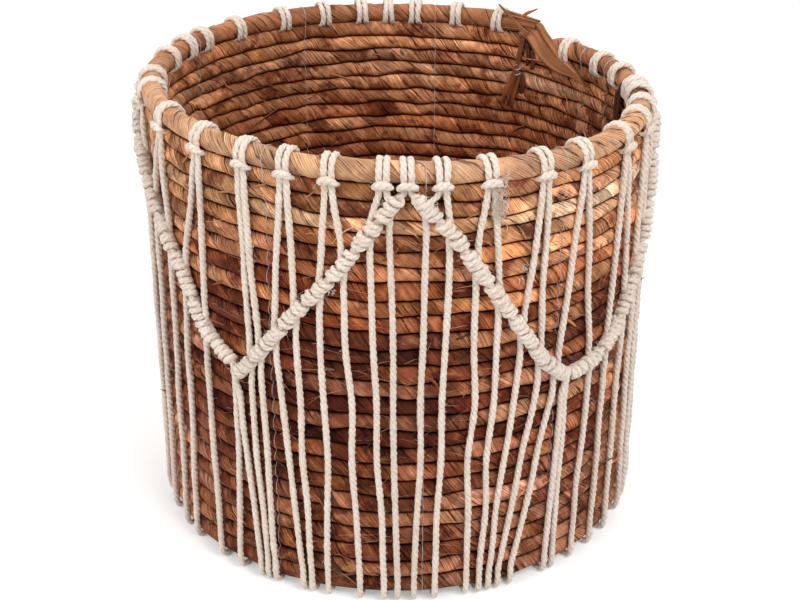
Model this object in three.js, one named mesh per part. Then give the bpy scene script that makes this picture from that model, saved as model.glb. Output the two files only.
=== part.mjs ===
// Macrame basket: a tub coiled from twisted bark rope, in a sling of knotted cotton cords.
// Millimetres, +Z up. The origin is the middle of the footprint, on the ground.
// Angles are degrees about Z, 0 at the front (-Y) and growing to the right (+X).
import * as THREE from 'three';

// Driving dimensions of the bark tub
const ringRadius = 165; // wall's centre line
const ropeDiameter = 11.2; // rope of the base and the wall
const rimDiameter = 13.5; // last turn, wrapped thicker
const rowGap = 0.65; // between two rows of rope
const lightRows = 8; // upper rows, of pale rope
const darkRows = 16; // lower rows, of dark rope
const seamAngle = 142; // where the coil starts and its rim ends
const climbShare = 0.06; // share of a turn in which a low row steps up to the next
const lean = 0.0125; // the low side's rows are this much lower, the far side's higher
const lowSide = 80; // the angle of the low side
const seat = 0.3; // clearance between two pieces that touch

// Driving dimensions of the sewing thread and of the bark strips at the seam
const threadDiameter = 0.8;
const threadEnd = 7; // height of a thread's outer end
const stripThickness = 3;
const stripWidth = 14;
const stripPoint = 5; // width at the strip's tucked end
const tieWidth = 10;
const tieAngle = 145.2;
const tieTop = 20; // below the rim's end
const tieLength = 50;

// Driving dimensions of the knotted cords
const cordDiameter = 4.3;
const squeezedCord = 2.4; // a cord's thickness where the rim presses on it
const barDrop = 3; // of a head's cross bar, below the rim's centre line
const hitchDepth = 5.8; // of a row of hitches, over the cord that holds it
const hitchHeight = 12; // of a row of hitches, across its length
const hitchGap = 0.9; // between one cord's hitches and the next's
const rowStart = 1.4; // degrees from the apex head to the first hitch
const tailReach = 11; // how far a cord's tail goes in under the wall

// Facets
const turnSteps = 20;
const innerTurnSteps = 10;
const fineTurnRadius = 38; // base turns inside this radius take the coarser step
const rimSteps = 60;
const ropeSides = 6;
const cordSides = 5;
const threadSides = 4;
const holdingSteps = 9;

// Sizes that follow
const ropeRadius = ropeDiameter / 2;
const rimRadius = rimDiameter / 2;
const cordRadius = cordDiameter / 2;
const threadRadius = threadDiameter / 2;
const wallRows = lightRows + darkRows;
const rowPitch = ropeDiameter + rowGap;
const rimGap = squeezedCord + 4 * seat;
const groundLift = cordDiameter + 2 * seat;
const firstRowHeight = groundLift + ropeRadius;
const rimStep = rimRadius - ropeRadius + rimGap - rowGap;
const faceShare = Math.cos(Math.PI / ropeSides); // from a rope's corner circle to its flats
const outerThreadRadius = ringRadius + rimRadius * faceShare + seat + threadRadius;
const legRadius = outerThreadRadius + threadRadius + 2 * seat + cordRadius;
const rimInnerFace = (ringRadius - rimRadius * faceShare) * Math.cos(Math.PI / rimSteps);
const hitchRadius = legRadius + cordRadius + seat + hitchDepth / 2;

// Where each cord hangs on the rim. Every eighth one is the middle of a chevron.
const headAngles = [
  2, 8.9, 18.7, 31, 42, 57.1, 70, 79.8,
  88.8, 93.7, 104.8, 115, 128.2, 151.2, 163.4, 175,
  182.4, 189.8, 200.4, 212.5, 227.3, 240.3, 247.9, 257.8,
  273.5, 281.5, 299.6, 314.6, 327.2, 337.1, 346.5, 357.2,
];
const headsPerChevron = 8;

// Sewing threads, each in a gap between two heads
const threadAngles = [5.6, 36.5, 75, 110, 121.5, 169.3, 206.4, 244.1, 290.5, 332.2];

// The eight rows of hitches, two to a chevron. side is 1 where a row runs to the right from its
// apex head. crossings are where its cords pass through it, as degrees from the apex head and
// rows of rope below the rim, and low is where it ends in the valley. feet are where these cords
// and then the cord that holds them turn in under the wall.
const hitchRows = [
  {
    apex: 0, side: 1, low: [36.4, 12.3],
    crossings: [[3.8, 1.6], [8.4, 2.8], [14, 4.9], [19, 6.8], [24.6, 9], [29.4, 10.8], [34, 11.9]],
    feet: [1.7, 6.3, 13.4, 16.4, 18.7, 21, 24.2, 33.4],
  },
  {
    apex: 0, side: -1, low: [38.5, 12.8],
    crossings: [
      [3.6, 1.6], [7.5, 2.9], [12.9, 4.9], [17.8, 6.4], [23.2, 8], [28.2, 9.7], [31.9, 10.9], [34.4, 11.7],
    ],
    feet: [1.9, 4.9, 10.2, 17.4, 21.2, 23.3, 30.3, 32.3, 34.3],
  },
  {
    apex: 8, side: -1, low: [50.4, 12.3],
    crossings: [[3.8, 1.6], [9, 3.9], [15.6, 6.3], [21.6, 7.8], [27.8, 9.4], [35.6, 11.4], [42.2, 12.1]],
    feet: [4, 9.6, 15, 21, 30.1, 37.5, 44.6, 51],
  },
  {
    apex: 8, side: 1, low: [44.2, 12],
    crossings: [[3.8, 1.6], [9.2, 3.2], [15.4, 5], [21.6, 6.8], [27.8, 8.7], [33.6, 10.3], [39.4, 11.5]],
    feet: [3.2, 8.6, 14, 19.6, 27.2, 34, 38, 43.4],
  },
  {
    apex: 16, side: -1, low: [49.4, 12],
    crossings: [[3.8, 1.6], [9.8, 3], [16.8, 4.8], [23.6, 6.6], [30.6, 8.5], [37.6, 10.3], [44.6, 11.5]],
    feet: [3, 10.6, 17.8, 22.4, 29.4, 37, 44.4, 48],
  },
  {
    apex: 16, side: 1, low: [46.6, 12.3],
    crossings: [[3.8, 1.6], [9.4, 3.1], [16, 5], [22.6, 7], [29, 8.8], [35.4, 10.5], [41.8, 11.7]],
    feet: [2.4, 8, 14.8, 23, 28.2, 33.6, 42, 46],
  },
  {
    apex: 24, side: -1, low: [44.5, 12.3],
    crossings: [[3.8, 1.6], [9.2, 3.3], [15.4, 5.3], [21.8, 7.2], [28, 9], [34, 10.5], [40, 11.8]],
    feet: [4.6, 9, 16.4, 21.2, 26.4, 34.8, 40.8, 42.8],
  },
  {
    apex: 24, side: 1, low: [50, 12],
    crossings: [[3.8, 1.6], [13, 3.3], [20.6, 4.8], [28, 6.4], [34.5, 7.8], [41, 10.6]],
    feet: [3, 9.4, 17.4, 26, 31.6, 41.8, 48.2],
  },
];

const up = new THREE.Vector3(0, 0, 1);

function outward(angle) {
  const a = THREE.MathUtils.degToRad(angle);
  return new THREE.Vector3(Math.sin(a), -Math.cos(a), 0);
}

function sideways(angle) {
  const a = THREE.MathUtils.degToRad(angle);
  return new THREE.Vector3(Math.cos(a), Math.sin(a), 0);
}

function place(radius, angle, height) {
  return outward(angle).multiplyScalar(radius).addScaledVector(up, height);
}

function leaning(height, angle) {
  return height * (1 - lean * Math.cos(THREE.MathUtils.degToRad(angle - lowSide)));
}

// Share of a turn that the coil has wound at an angle, from the seam towards falling angles
function turnShare(angle) {
  return THREE.MathUtils.euclideanModulo(seamAngle - angle, 360) / 360;
}

// Height of the rope's centre line. The lowest row lies level and steps up beside the seam, and
// the higher a row is, the more of its rise is spread along the turn.
function ropeHeight(turns) {
  const row = Math.floor(turns);
  const share = turns - row;
  const spread = turns / wallRows;
  const step = THREE.MathUtils.smoothstep(share, 1 - climbShare, 1);
  const rise = row + spread * share + (1 - spread) * step;
  return leaning(firstRowHeight + rowPitch * rise, seamAngle - 360 * turns);
}

function rimHeight(angle, share = turnShare(angle)) {
  return leaning(firstRowHeight + rowPitch * (wallRows + share) + rimStep, angle);
}

// Distance from the axis to the wall's flat inner faces, between which its turns have corners
function wallInnerFace(angle) {
  const step = 360 / turnSteps;
  const pastMiddle = THREE.MathUtils.euclideanModulo(angle - seamAngle, step) - step / 2;
  const middle = (ringRadius - ropeRadius * faceShare) * Math.cos(Math.PI / turnSteps);
  return middle / Math.cos(THREE.MathUtils.degToRad(pastMiddle));
}

// Distance from the axis at which a piece on the inside clears both the wall and the rim
function clearInside(angle) {
  return Math.min(wallInnerFace(angle), rimInnerFace) - seat;
}

// A ring of points round centre, from the axis across to the axis outwards. boxy rings bulge
// towards their corners.
function ring(centre, across, out, halfAcross, halfOut, sides, boxy = false) {
  const power = boxy ? 0.5 : 1;
  return Array.from({ length: sides }, (_, i) => {
    const a = Math.PI / 2 + (2 * Math.PI * i) / sides;
    const x = Math.sign(Math.cos(a)) * Math.abs(Math.cos(a)) ** power;
    const y = Math.sign(Math.sin(a)) * Math.abs(Math.sin(a)) ** power;
    return centre.clone().addScaledVector(across, x * halfAcross).addScaledVector(out, y * halfOut);
  });
}

// A closed skin over a row of rings, with a flat cap at each end
function skin(rings) {
  const sides = rings[0].length;
  const index = [];
  for (let i = 0; i + 1 < rings.length; i++) {
    for (let j = 0; j < sides; j++) {
      const a = i * sides + j;
      const b = i * sides + ((j + 1) % sides);
      index.push(a, b, b + sides, a, b + sides, a + sides);
    }
  }
  const last = (rings.length - 1) * sides;
  for (let j = 1; j + 1 < sides; j++) {
    index.push(0, j + 1, j, last, last + j, last + j + 1);
  }
  const corners = rings.flat().flatMap((p) => p.toArray());
  const geometry = new THREE.BufferGeometry();
  geometry.setAttribute('position', new THREE.Float32BufferAttribute(corners, 3));
  geometry.setIndex(index);
  geometry.computeVertexNormals();
  return geometry;
}

// Rings along a path. A stop may set its own section as { across, halfAcross, halfOut, boxy }.
function sweep(stops, firstAcross, radius, sides) {
  let across = firstAcross.clone();
  return stops.map((stop, i) => {
    const before = stops[Math.max(i - 1, 0)].at;
    const after = stops[Math.min(i + 1, stops.length - 1)].at;
    const along = new THREE.Vector3();
    if (before !== stop.at) along.add(stop.at.clone().sub(before).normalize());
    if (after !== stop.at) along.add(after.clone().sub(stop.at).normalize());
    if (stop.along) along.copy(stop.along);
    along.normalize();
    across.copy(stop.across ?? across.addScaledVector(along, -across.dot(along)).normalize());
    const out = stop.out ?? along.clone().cross(across);
    return ring(stop.at, across, out, stop.halfAcross ?? radius, stop.halfOut ?? radius, sides, stop.boxy);
  });
}

// Rope rings between two counts of turns of the coiled wall
function wallRings(fromTurns, toTurns) {
  const steps = Math.round((toTurns - fromTurns) * turnSteps);
  return Array.from({ length: steps + 1 }, (_, i) => {
    const nearEnd = (i === 0 ? 0.5 : 0) - (i === steps ? 0.5 : 0);
    const turns = fromTurns + i / turnSteps + (nearEnd * seat) / (2 * Math.PI * ringRadius);
    const angle = seamAngle - 360 * turns;
    const centre = place(ringRadius, angle, ropeHeight(turns));
    return ring(centre, outward(angle), up, ropeRadius, ropeRadius, ropeSides);
  });
}

function rimRings() {
  return Array.from({ length: rimSteps + 1 }, (_, i) => {
    const share = i / rimSteps;
    const end = (i === 0 ? 1 : 0) - (i === rimSteps ? 1 : 0);
    const angle = seamAngle - 360 * share - THREE.MathUtils.radToDeg((end * seat) / ringRadius);
    const centre = place(ringRadius, angle, rimHeight(angle, share));
    return ring(centre, outward(angle), up, rimRadius, rimRadius, ropeSides);
  });
}

// The base: one flat spiral of rope whose underside lies on the ground inside the wall's foot.
// Its section is a five-sided rope with a flat down.
const baseHalfWidth = Math.cos(Math.PI / 10);
const baseFlat = Math.cos(Math.PI / cordSides);
const baseCrownHeight = ropeRadius * baseFlat;
const baseOuterTurn = ringRadius - ropeRadius * baseHalfWidth - cordDiameter / 2 + seat;
const baseInnerTurn = ropeRadius + rowGap;

function baseStops() {
  const stops = [];
  let wound = 0;
  for (;;) {
    const radius = baseOuterTurn - (rowPitch * wound) / 360;
    if (radius < baseInnerTurn) break;
    stops.unshift({ radius, angle: seamAngle + wound });
    wound += 360 / (radius > fineTurnRadius ? turnSteps : innerTurnSteps);
  }
  return stops;
}

function baseRings() {
  return baseStops().map(({ radius, angle }) => {
    const centre = place(radius, angle, baseCrownHeight);
    return ring(centre, outward(angle), up, ropeRadius, ropeRadius, cordSides);
  });
}

// A sewing thread: up the inside of the wall, over the rim and down the outside
function threadRings(angle) {
  const inner = clearInside(angle) - threadRadius;
  const rim = rimHeight(angle);
  const over = rimRadius + seat + 2 * threadRadius;
  const path = [
    [inner, baseCrownHeight + ropeRadius + 2 * seat + threadRadius],
    [inner, rim - rimRadius],
    [inner, rim + rimRadius / 2],
    [ringRadius - rimRadius / 3, rim + over],
    [ringRadius + rimRadius / 3, rim + over],
    [outerThreadRadius, rim + rimRadius / 2],
    [outerThreadRadius, rim - rimRadius],
    [outerThreadRadius, threadEnd],
  ];
  const stops = path.map(([radius, height]) => ({ at: place(radius, angle, height) }));
  return sweep(stops, sideways(angle), threadRadius, threadSides);
}

// The flattened end of the rim's bark, laid down the inside past the seam
function stripRings() {
  const endOfRim = rimHeight(seamAngle, 1);
  const path = [
    [seamAngle + 5, endOfRim - stripWidth * 0.15, stripWidth, stripThickness],
    [seamAngle - 1, endOfRim - stripWidth * 0.55, stripWidth, stripThickness],
    [seamAngle - 8, rimHeight(seamAngle - 8) - stripWidth * 1.2, stripWidth * 0.75, stripThickness],
    [seamAngle - 15, rimHeight(seamAngle - 15) - stripWidth * 2, stripPoint, stripThickness * 0.7],
  ];
  const stops = path.map(([angle, height, width, thickness]) => ({
    at: place(clearInside(angle) - thickness / 2, angle, height),
    out: outward(angle).negate(),
    across: up.clone(),
    halfAcross: width / 2,
    halfOut: thickness / 2,
  }));
  return stops.map((s) => ring(s.at, s.across, s.out, s.halfAcross, s.halfOut, ropeSides, true));
}

// The bark tie that binds the seam's rows together on the inside
function tieRings() {
  const top = rimHeight(seamAngle, 1) - tieTop;
  const radius = wallInnerFace(tieAngle) - seat - stripThickness / 2;
  const out = outward(tieAngle).negate();
  const across = sideways(tieAngle);
  return [0, 0.1, 0.9, 1].map((share, i) => {
    const half = i === 0 || i === 3 ? 0.35 : 0.5;
    const at = place(radius, tieAngle, top - tieLength * share);
    return ring(at, across, out, tieWidth * half, stripThickness * half, ropeSides, true);
  }).reverse();
}

// Where a row of hitches runs: its angle and height at a distance in degrees from the apex
function rowAngle(row, reach) {
  return headAngles[row.apex] + row.side * reach;
}

function rowHeight(row, reach) {
  const marks = [...row.crossings, row.low];
  const past = marks.findIndex(([mark]) => mark >= reach);
  const next = past < 0 ? marks.length - 1 : Math.max(past, 1);
  const [fromReach, fromDrop] = marks[next - 1];
  const [toReach, toDrop] = marks[next];
  const drop = fromDrop + ((toDrop - fromDrop) * (reach - fromReach)) / (toReach - fromReach);
  return rimHeight(rowAngle(row, reach)) - rowPitch * drop;
}

// A cord's tail under the wall, from its hidden end out to its foot
function tailStops(angle) {
  const height = seat + cordRadius;
  return [
    { at: place(legRadius - tailReach, angle, height) },
    { at: place(legRadius, angle, height) },
  ];
}

// The stop where a cord passes through its row of hitches: four sections as long as its share of
// the row, which lie over the holding cord
function hitchStops(row, i) {
  const [reach] = row.crossings[i];
  const [above] = row.crossings[i - 1] ?? [2 * rowStart - reach];
  const [below] = row.crossings[i + 1] ?? [2 * row.low[0] - reach];
  const angle = rowAngle(row, reach);
  const rise = rowHeight(row, (reach + below) / 2) - rowHeight(row, (reach + above) / 2);
  const run = row.side * THREE.MathUtils.degToRad((below - above) / 2) * hitchRadius;
  const slope = rise / run;
  const share = Math.min(reach - above, below - reach) / 2;
  const half = THREE.MathUtils.degToRad(share) * hitchRadius - hitchGap / 2;
  const across = sideways(angle).addScaledVector(up, slope).negate();
  const tall = (hitchHeight / 2) * Math.hypot(1, slope);
  const out = outward(angle);
  return [
    [-1, cordRadius / half, 0.45],
    [-0.45, 1, 1],
    [0.45, 1, 1],
    [1, cordRadius / half, 0.45],
  ].map(([level, length, depth]) => ({
    at: place(hitchRadius, angle, rowHeight(row, reach) + level * tall),
    across: across.clone().multiplyScalar(half * length),
    out,
    halfAcross: 1,
    halfOut: (hitchDepth / 2) * depth,
    boxy: true,
  }));
}

// The stops of a holding cord, from the low end of its row up to the first hitch, behind them
// all. In a valley it keeps to its own side of the other row's holding cord.
function holdingStops(row) {
  const end = row.low[0] - THREE.MathUtils.radToDeg((cordRadius + seat) / legRadius);
  const [start] = row.crossings[0];
  return Array.from({ length: holdingSteps + 1 }, (_, i) => {
    const reach = end + ((start - end) * i) / holdingSteps;
    return { at: place(legRadius, rowAngle(row, reach), rowHeight(row, reach)) };
  });
}

// Half of a cord's head: up the outside of the rim, over it, down the inside, out under the rim
// beside the legs, and to the middle of the bar that crosses in front of both legs
function headStops(angle, hand) {
  const rim = rimHeight(angle);
  const loop = rimRadius + seat + cordRadius;
  const half = cordRadius + seat / 3;
  const beside = half + cordRadius + seat + squeezedCord / 2;
  const under = -rimRadius - rimGap / 2;
  const bar = loop + cordDiameter + seat;
  const spot = (out, aside, height) => place(ringRadius + out, angle, rim + height)
    .addScaledVector(sideways(angle), hand * aside);
  return [
    { at: spot(loop, half, -barDrop - cordDiameter) },
    { at: spot(loop, half, loop * 0.58) },
    { at: spot(0, half, loop * 1.15) },
    { at: spot(-loop * 1.02, half, loop * 0.57) },
    { at: spot(-loop, half, under - seat) },
    { at: spot(0, (half + beside) / 2, under), halfOut: squeezedCord / 2 },
    { at: spot(loop * 0.72, beside, -loop * 0.72), halfAcross: squeezedCord / 2 },
    { at: spot(loop, beside, -barDrop), halfAcross: squeezedCord / 2 },
    { at: spot(bar, beside - seat, -barDrop) },
    { at: spot(bar, 0, -barDrop), along: sideways(angle).multiplyScalar(-hand) },
  ];
}

// One leg's rings, from its tail up to the middle of the head's bar
function legRings(head, hand) {
  const angle = headAngles[head];
  const { row, place: i } = legPlan(head, hand);
  const middle = i < 0 ? holdingStops(row) : hitchStops(row, i);
  const foot = rowAngle(row, row.feet[i < 0 ? row.feet.length - 1 : i]);
  const stops = [...tailStops(foot), ...middle, ...headStops(angle, hand)];
  return sweep(stops, sideways(foot).negate(), cordRadius, cordSides);
}

// Which row a leg joins and its place there, or place -1 for the row's holding cord. The legs
// from one apex head to the next fill the two rows between them from their upper ends, and each
// row's second leg is the cord that holds it.
function legPlan(head, hand) {
  const legs = 2 * headsPerChevron;
  const count = THREE.MathUtils.euclideanModulo(2 * head + (hand > 0 ? 0 : -1), 2 * headAngles.length);
  const fromApex = count % legs;
  const apex = headsPerChevron * Math.floor(count / legs);
  const next = (apex + headsPerChevron) % headAngles.length;
  const falling = hitchRows.find((r) => r.apex === apex && r.side === 1);
  const rising = hitchRows.find((r) => r.apex === next && r.side === -1);
  const inFalling = fromApex <= falling.crossings.length;
  const order = inFalling ? fromApex : legs - 1 - fromApex;
  const orders = [0, -1];
  return { row: inFalling ? falling : rising, place: orders[order] ?? order - 1 };
}

// A whole cord: its left leg's rings, then its right leg's in reverse from the bar
function cordRings(head) {
  const left = legRings(head, -1);
  const right = legRings(head, 1).map((r) => [...r].reverse()).reverse();
  const bar = left[left.length - 1];
  const turns = bar.map((_, shift) => bar.reduce(
    (sum, p, k) => sum + p.distanceTo(right[0][(k + shift) % cordSides]), 0));
  const best = turns.indexOf(Math.min(...turns));
  const turned = right.slice(1).map((r) => r.map((_, k) => r[(k + best) % cordSides]));
  return [...left, ...turned];
}

// The least clear space between two turns of the wall's rope, measured along the coil
function leastRowGap() {
  let least = Infinity;
  for (let turns = 1; turns <= wallRows; turns += 0.01) {
    least = Math.min(least, ropeHeight(turns) - ropeHeight(turns - 1) - ropeDiameter);
  }
  return least;
}

const paleBark = new THREE.MeshStandardMaterial({ color: 0xb98556, roughness: 0.75, metalness: 0 });
const rimBark = new THREE.MeshStandardMaterial({ color: 0xc4976c, roughness: 0.7, metalness: 0 });
const darkBark = new THREE.MeshStandardMaterial({ color: 0x6b3d28, roughness: 0.75, metalness: 0 });
const cotton = new THREE.MeshStandardMaterial({ color: 0xe6dccd, roughness: 0.9, metalness: 0 });
const thread = new THREE.MeshStandardMaterial({ color: 0xb9b2b4, roughness: 0.3, metalness: 0 });

const basket = new THREE.Group();

function add(name, rings, material) {
  const mesh = new THREE.Mesh(skin(rings), material.clone());
  mesh.name = name;
  basket.add(mesh);
}

add('base_coil', baseRings(), darkBark);
add('wall_rope_dark', wallRings(0, darkRows), darkBark);
add('wall_rope_pale', wallRings(darkRows, wallRows), paleBark);
add('rim_rope', rimRings(), rimBark);
add('rim_end_strip', stripRings(), paleBark);
add('seam_tie', tieRings(), darkBark);
threadAngles.forEach((angle, i) => {
  add(`sewing_thread_${String(i + 1).padStart(2, '0')}`, threadRings(angle), thread);
});
headAngles.forEach((_, head) => {
  add(`macrame_cord_${String(head + 1).padStart(2, '0')}`, cordRings(head), cotton);
});

console.log(`least gap between two turns of the wall: ${leastRowGap().toFixed(2)} mm`);

export default basket;
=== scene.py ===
"""Macrame basket: a tub coiled from twisted bark rope, in a sling of knotted cotton cords.

Angles are degrees about Z, 0 at the front (-Y) and growing to the right (+X). Lengths are
millimetres until a mesh is made, and sizes in the panel metres.
"""

import bpy
import numpy as np
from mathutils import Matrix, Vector


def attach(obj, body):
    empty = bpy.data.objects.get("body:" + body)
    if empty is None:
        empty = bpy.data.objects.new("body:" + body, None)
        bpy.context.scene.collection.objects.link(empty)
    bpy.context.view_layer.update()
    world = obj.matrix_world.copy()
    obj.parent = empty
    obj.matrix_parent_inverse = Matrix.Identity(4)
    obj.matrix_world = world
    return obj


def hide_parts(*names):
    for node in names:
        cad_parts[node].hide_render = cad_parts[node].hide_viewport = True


bl_info = {
    "name": "Macrame Basket",
    "version": (1, 0, 0),
    "blender": (4, 5, 0),
    "location": "View3D > Sidebar > Basket",
    "description": "Models a coiled bark basket with knotted cotton cords",
    "category": "Object",
}

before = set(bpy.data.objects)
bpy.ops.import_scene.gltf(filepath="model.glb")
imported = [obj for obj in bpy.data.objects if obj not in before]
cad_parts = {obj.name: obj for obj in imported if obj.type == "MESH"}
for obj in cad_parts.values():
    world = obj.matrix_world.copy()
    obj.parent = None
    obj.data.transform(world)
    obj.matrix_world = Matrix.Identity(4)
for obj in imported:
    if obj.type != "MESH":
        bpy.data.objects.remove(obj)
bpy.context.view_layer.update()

# The coil. The solids wind 24 rows of one thickness. The 25 rows here grow thinner upwards, between
# the same base and rim.
SOLID_ROWS = 24
WALL_ROWS = 25
DARK_ROWS = 16
LOWEST_ROW = 1.147
THINNING = 0.00478
SEAM = 142
CLIMB_SHARE = 0.06
LEAN = 0.0125
LOW_SIDE = 80
ROW_GAP = 0.65
GROUND_LIFT = 4.9
RIM_GAP = 3.6
ROPE_SQUARENESS = 2.6
STEPS_A_TURN = 400
BASE_INSET = 3.2

# Where each cord hangs on the rim. Every eighth one is the apex of a chevron.
HEADS = [
    2, 8.9, 18.7, 31, 42, 57.1, 70, 79.8,
    88.8, 93.7, 104.8, 115, 128.2, 151.2, 163.4, 175,
    182.4, 189.8, 200.4, 212.5, 227.3, 240.3, 247.9, 257.8,
    273.5, 281.5, 299.6, 314.6, 327.2, 337.1, 346.5, 357.2,
]

# Where each sewing thread runs down the wall
THREADS = [5.6, 36.5, 75, 110, 121.5, 169.3, 206.4, 244.1, 290.5, 332.2]

# Rows of knots: apex head, side, where its cords cross it (degrees from the apex head, rows of
# rope below the rim), its low end, and the feet of its cords, the holding cord's last
KNOT_ROWS = [
    (0, 1, [(3.8, 1.6), (8.4, 2.8), (14, 4.9), (19, 6.8), (24.6, 9), (29.4, 10.8), (34, 11.9)],
     (36.4, 12.3), [1.7, 6.3, 13.4, 16.4, 18.7, 21, 24.2, 33.4]),
    (0, -1, [(3.6, 1.6), (7.5, 2.9), (12.9, 4.9), (17.8, 6.4), (23.2, 8), (28.2, 9.7), (31.9, 10.9),
             (34.4, 11.7)],
     (38.5, 12.8), [1.9, 4.9, 10.2, 17.4, 21.2, 23.3, 30.3, 32.3, 34.3]),
    (8, -1, [(3.8, 1.6), (9, 3.9), (15.6, 6.3), (21.6, 7.8), (27.8, 9.4), (35.6, 11.4), (42.2, 12.1)],
     (50.4, 12.3), [4, 9.6, 15, 21, 30.1, 37.5, 44.6, 51]),
    (8, 1, [(3.8, 1.6), (9.2, 3.2), (15.4, 5), (21.6, 6.8), (27.8, 8.7), (33.6, 10.3), (39.4, 11.5)],
     (44.2, 12), [3.2, 8.6, 14, 19.6, 27.2, 34, 38, 43.4]),
    (16, -1, [(3.8, 1.6), (9.8, 3), (16.8, 4.8), (23.6, 6.6), (30.6, 8.5), (37.6, 10.3), (44.6, 11.5)],
     (49.4, 12), [3, 10.6, 17.8, 22.4, 29.4, 37, 44.4, 48]),
    (16, 1, [(3.8, 1.6), (9.4, 3.1), (16, 5), (22.6, 7), (29, 8.8), (35.4, 10.5), (41.8, 11.7)],
     (46.6, 12.3), [2.4, 8, 14.8, 23, 28.2, 33.6, 42, 46]),
    (24, -1, [(3.8, 1.6), (9.2, 3.3), (15.4, 5.3), (21.8, 7.2), (28, 9), (34, 10.5), (40, 11.8)],
     (44.5, 12.3), [4.6, 9, 16.4, 21.2, 26.4, 34.8, 40.8, 42.8]),
    (24, 1, [(3.8, 1.6), (13, 3.3), (20.6, 4.8), (28, 6.4), (34.5, 7.8), (41, 10.6)],
     (50, 12), [3, 9.4, 17.4, 26, 31.6, 41.8, 48.2]),
]
ROW_START = 1.4

# A row's middle stands off the wall. Each wrap round it is an ellipse, pressed flatter outwards,
# and enters and leaves from behind.
ROW_STANDOFF = 4.9
WRAP_OUT = 2.95
WRAP_UP = 3.35
WRAP_BEHIND = 3.0
WRAP_PRESS = 0.84
WRAP_SPACING = 4.7

# A cord's line: between the points of its free lengths and between its rings, and its tail under
# the wall's foot, as distances out from the leg and heights
FREE_SPACING = 11
CORD_SPACING = 1.15
TAIL = np.array([(-9.5, 2.3), (-5.2, 2.25), (-1.6, 3.4), (0, 8.0)])

# Colours of the wall's rows from the top one down, as places in the palette of the panel
ROW_SHADES = "TTGTTTRTRDDMAUAUMMDABBMBB"

UP = np.array([0, 0, 1.0])
LEVEL = np.array([1, 1, 0])
WHITE = (1, 1, 1, 1)


def distance(name, description, default):
    return bpy.props.FloatProperty(
        name=name, description=description, default=default, min=0, unit="LENGTH", subtype="DISTANCE"
    )


def colour(name, description, default):
    return bpy.props.FloatVectorProperty(
        name=name, description=description, default=default, min=0, max=1, size=3, subtype="COLOR"
    )


class BasketTub(bpy.types.PropertyGroup):
    ring_radius: distance("Ring Radius", "From the basket's axis to the rope of its wall", 0.165)
    rope: distance("Rope", "Diameter of the wall's rope", 0.0112)
    rim: distance("Rim", "Diameter of the rim's thicker rope", 0.0135)
    rope_lay: distance("Rope Lay", "Length in which the wall's rope twists once", 0.030)
    rim_lay: distance("Rim Lay", "Length in which the rim's bark winds once", 0.040)
    tan: colour("Tan", "Bark of most upper rows", (0.53, 0.218, 0.092))
    gold: colour("Gold", "Bark of the palest rows", (0.61, 0.30, 0.145))
    rust: colour("Rust", "Bark of the reddish rows", (0.33, 0.105, 0.042))
    middle: colour("Middle", "Bark of rows half way down", (0.148, 0.048, 0.023))
    dark: colour("Dark", "Bark of the dark rows", (0.105, 0.034, 0.018))
    umber: colour("Umber", "Bark of the darkest rows", (0.072, 0.019, 0.011))
    ash: colour("Ash", "Bark of the greyish rows", (0.205, 0.082, 0.048))
    brown: colour("Brown", "Bark of the lowest rows", (0.172, 0.066, 0.035))
    # Inner Brown is painted light and shade: the inward half of every row is painted nearer to it, darker
    # than the pale rows and lighter than the dark ones
    inner: colour("Inner Brown", "Bark of the inside's lower rows", (0.430, 0.120, 0.042))
    rim_tan: colour("Rim Tan", "Bark of the rim", (0.66, 0.375, 0.215))


class BasketCords(bpy.types.PropertyGroup):
    diameter: distance("Cord", "Diameter of the cotton cord", 0.0043)
    lay: distance("Cord Lay", "Length in which the cord's three strands twist once", 0.0135)
    thread: distance("Thread", "Diameter of the sewing thread", 0.0005)
    cotton: colour("Cotton", "Unbleached cotton of the cords", (0.95, 0.855, 0.768))
    clear: colour("Thread Colour", "Translucent sewing thread", (0.80, 0.76, 0.76))


def mm(length):
    return 1000 * length


def tub():
    return bpy.context.scene.basket_tub


def cords():
    return bpy.context.scene.basket_cords


def ring():
    """Distance from the basket's axis to the middle of its wall."""
    return mm(tub().ring_radius)


def wall_face():
    """Distance from the basket's axis to the outside of its wall."""
    return ring() + mm(tub().rope) / 2


# Shapes of the coil


def polar(radius, angle, height):
    a = np.radians(angle)
    return np.stack(np.broadcast_arrays(radius * np.sin(a), -radius * np.cos(a), height), -1)


def outward(angle):
    return polar(1, angle, 0)


def sideways(angle):
    return polar(1, angle + 90, 0)


def angle_of(point):
    return np.degrees(np.arctan2(point[0], -point[1]))


def nearest(angle, to):
    """The same angle, counted so that it lies within half a turn of another."""
    return to + (angle - to + 180) % 360 - 180


def unit(vectors):
    return vectors / np.linalg.norm(vectors, axis=-1, keepdims=True)


def between(at, places, rows):
    """Rows of numbers, interpolated at places between those where they are known."""
    return np.stack([np.interp(at, places, column) for column in rows.T], -1)


def smoothstep(x, low, high):
    t = np.clip((x - low) / (high - low), 0, 1)
    return t * t * (3 - 2 * t)


def wander(seed, x):
    """Smooth random values about 0, a new one at each whole number."""
    table = np.random.default_rng(seed).standard_normal(4096)
    x = np.asarray(x, float) + 2000
    first = np.floor(x).astype(int)
    t = x - first
    p = [table[(first + k) % 4096] for k in (-1, 0, 1, 2)]
    slope = (p[2] - p[0]) / 2, (p[3] - p[1]) / 2
    a = 2 * p[1] - 2 * p[2] + slope[0] + slope[1]
    b = -3 * p[1] + 3 * p[2] - 2 * slope[0] - slope[1]
    return ((a * t + b) * t + slope[0]) * t + p[1]


def leaning(height, angle):
    return height * (1 - LEAN * np.cos(np.radians(angle - LOW_SIDE)))


def row_pitch():
    return mm(tub().rope) + ROW_GAP


def rise_of(turns):
    """Rows climbed after so many turns. Low rows step up at the seam and high ones wind evenly."""
    row = np.floor(turns)
    share = turns - row
    spread = turns / WALL_ROWS
    return row + spread * share + (1 - spread) * smoothstep(share, 1 - CLIMB_SHARE, 1)


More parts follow.
